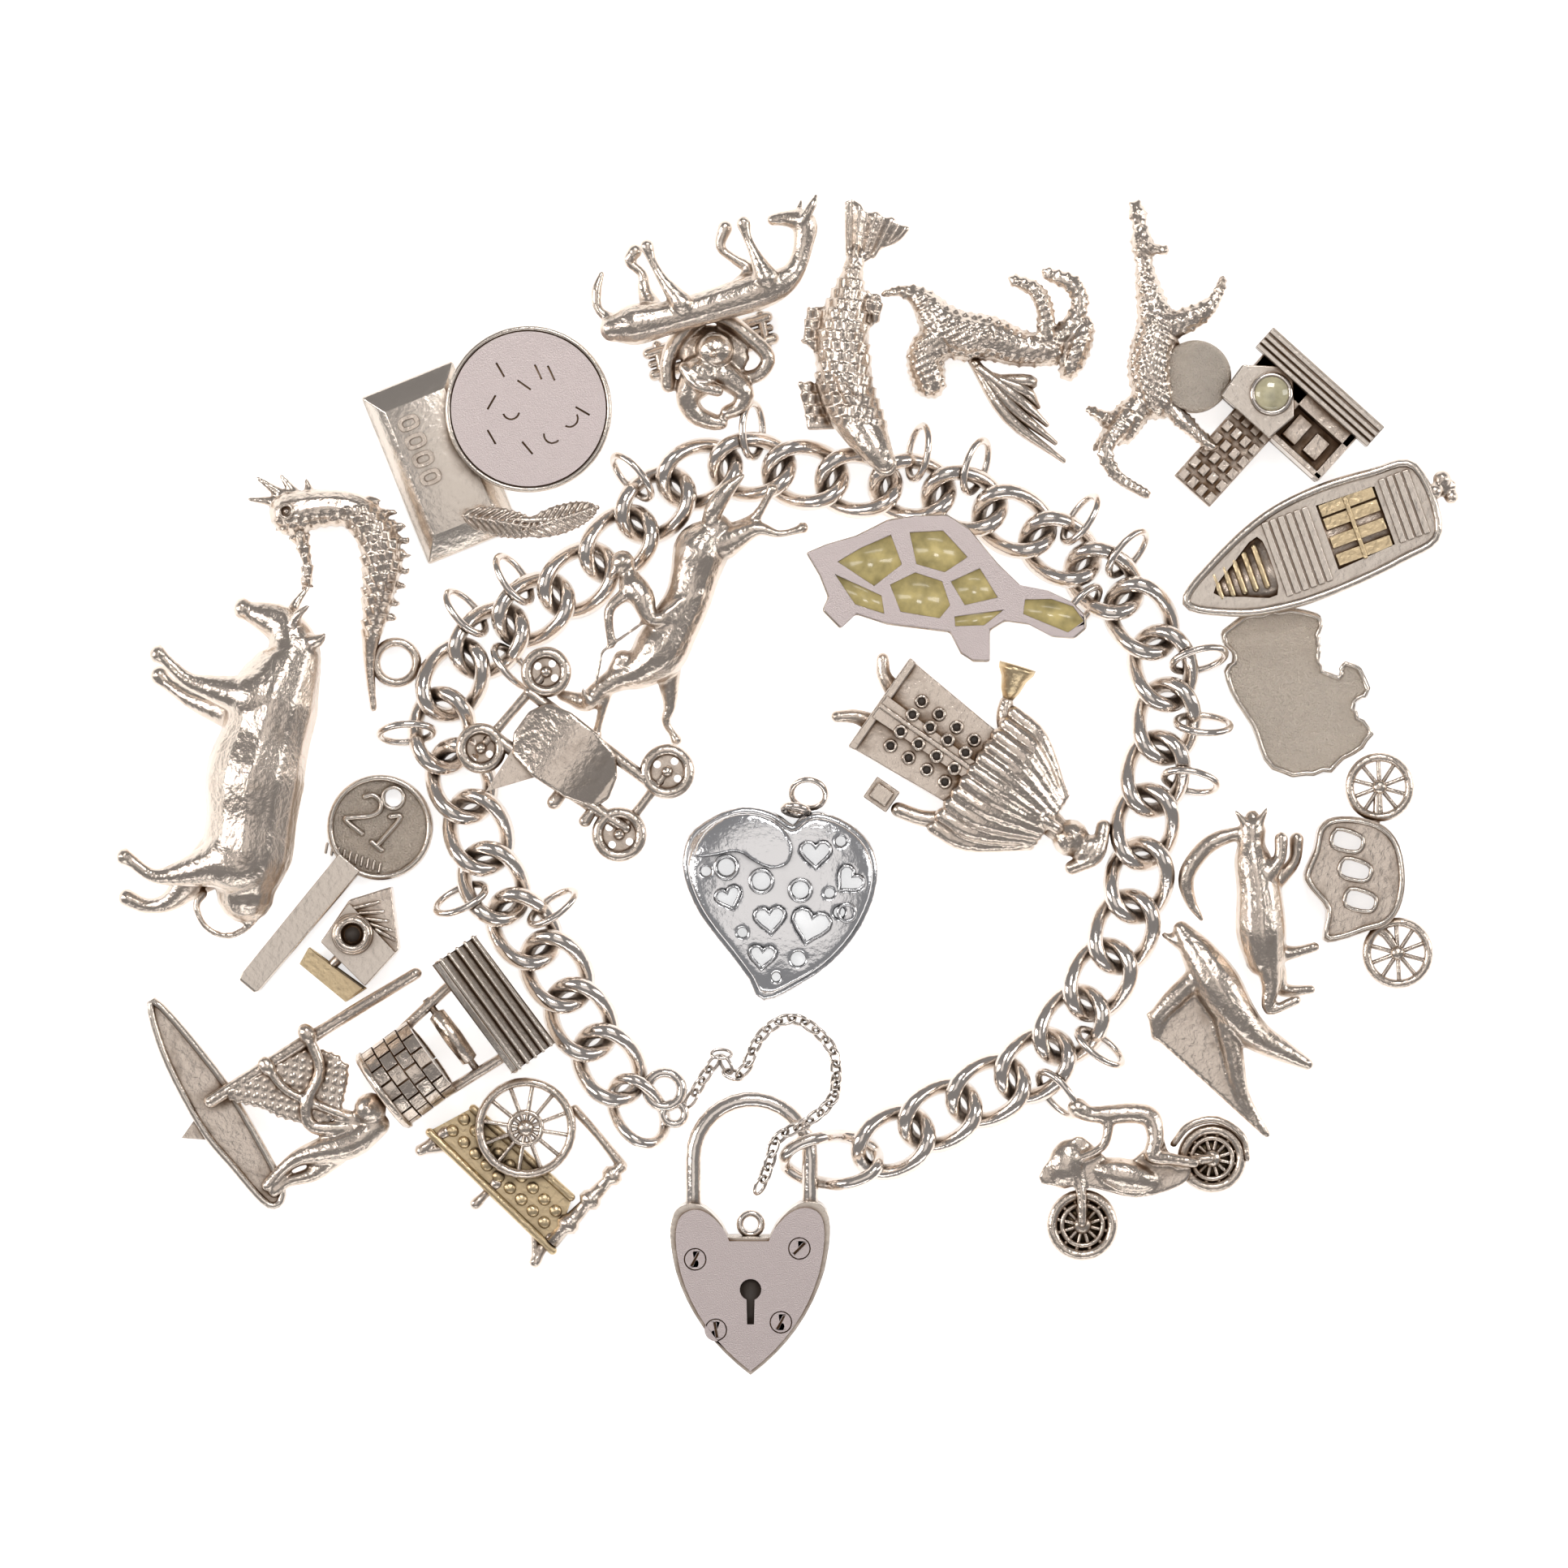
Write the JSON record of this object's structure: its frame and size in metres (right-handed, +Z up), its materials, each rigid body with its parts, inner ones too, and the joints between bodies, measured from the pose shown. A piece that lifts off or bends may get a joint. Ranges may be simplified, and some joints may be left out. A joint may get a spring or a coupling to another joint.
{
  "type": "charm bracelet",
  "caption": "Silver curb-chain charm bracelet laid out in a loop, with a heart padlock clasp, safety chain and many cast novelty charms.",
  "frame": {"origin": "middle of the whole spread, on the surface it lies on", "axes": "+X along the longest spread of the charms, +Y towards the fish and the foal, away from the padlock, +Z up from the table"},
  "size_m": [0.124, 0.1086, 0.0096],
  "materials": {
    "silver": "warm tarnished cast silver, polished on the high places",
    "worn_silver": "satin worn silver sheet",
    "bright_silver": "bright silver with blackened recesses",
    "stone": "polished yellow-grey stone"
  },
  "bodies": {
    "bracelet": {"chain_run_1": "silver", "chain_run_2": "silver", "chain_run_3": "silver", "chain_run_4": "silver", "chain_run_5": "silver", "chain_run_6": "silver", "padlock_body": "worn_silver", "clasp_ring": "silver", "end_loops": "silver", "safety_chain": "silver", "jump_ring_1": "silver", "jump_ring_2": "silver", "jump_ring_3": "silver", "jump_ring_4": "silver", "jump_ring_5": "silver", "jump_ring_6": "silver", "jump_ring_7": "silver", "jump_ring_8": "silver", "jump_ring_9": "silver", "jump_ring_10": "silver", "jump_ring_11": "silver", "jump_ring_12": "silver", "jump_ring_13": "silver", "jump_ring_14": "silver", "jump_ring_15": "silver", "jump_ring_16": "silver", "jump_ring_17": "silver", "jump_ring_18": "silver", "bull": "silver", "seahorse": "silver", "ingot": "silver", "disc": "worn_silver", "leaf_pair": "silver", "horse_and_jockey": "silver", "foal": "silver", "pixie": "silver", "gate": "silver", "fish": "silver", "bird": "silver", "drummer": "silver", "chapel": "silver", "chapel_gem": "stone", "boat": "silver", "map_plaque": "silver", "coach": "silver", "kangaroo": "silver", "flying_bird": "silver", "motorcyclist": "silver", "turtle": "worn_silver", "town_crier": "silver", "heart": "bright_silver", "windsurfer": "silver", "spinning_wheel": "silver", "wishing_well": "silver", "key": "silver", "camera": "silver", "go_kart": "silver"},
    "shackle": {"padlock_shackle": "silver"}
  },
  "joints": [
    {"name": "shackle_hinge", "type": "hinge", "parent": "bracelet", "child": "shackle", "pos_m": [-0.00875, -0.03969, 0], "axis": [0, 0, 1], "range_deg": [0, 7]}
  ]
}
